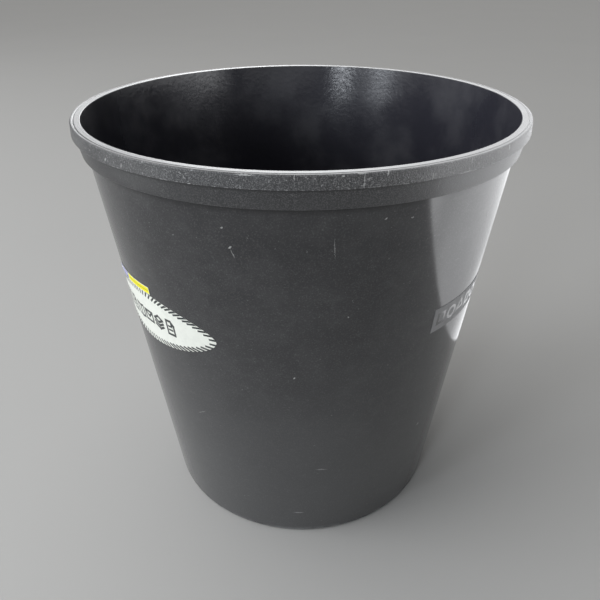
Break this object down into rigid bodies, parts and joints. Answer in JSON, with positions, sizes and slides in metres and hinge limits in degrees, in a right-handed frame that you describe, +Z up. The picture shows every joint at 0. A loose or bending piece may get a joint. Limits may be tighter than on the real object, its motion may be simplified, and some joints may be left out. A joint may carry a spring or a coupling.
{
  "type": "waste paper bin",
  "caption": "Round tapered open-top waste bin with a stepped downturned rim, a raised base ring and thin labels stuck on its wall.",
  "frame": {"origin": "centre of the base, on the surface the bin stands on", "axes": "+Z up along the bin's axis; -Y is the front, between the oval label on the left and the rectangular label on the right"},
  "size_m": [0.316, 0.316, 0.315],
  "materials": {
    "black_plastic": "satin black moulded polypropylene, finely grained outside and smoother inside",
    "oval_print": null,
    "strip_print": "yellow and blue film label",
    "grey_print": null
  },
  "bodies": {
    "root": {"bin_body": "black_plastic", "oval_label": "oval_print", "strip_label": "strip_print", "grey_label": "grey_print"}
  },
  "joints": []
}
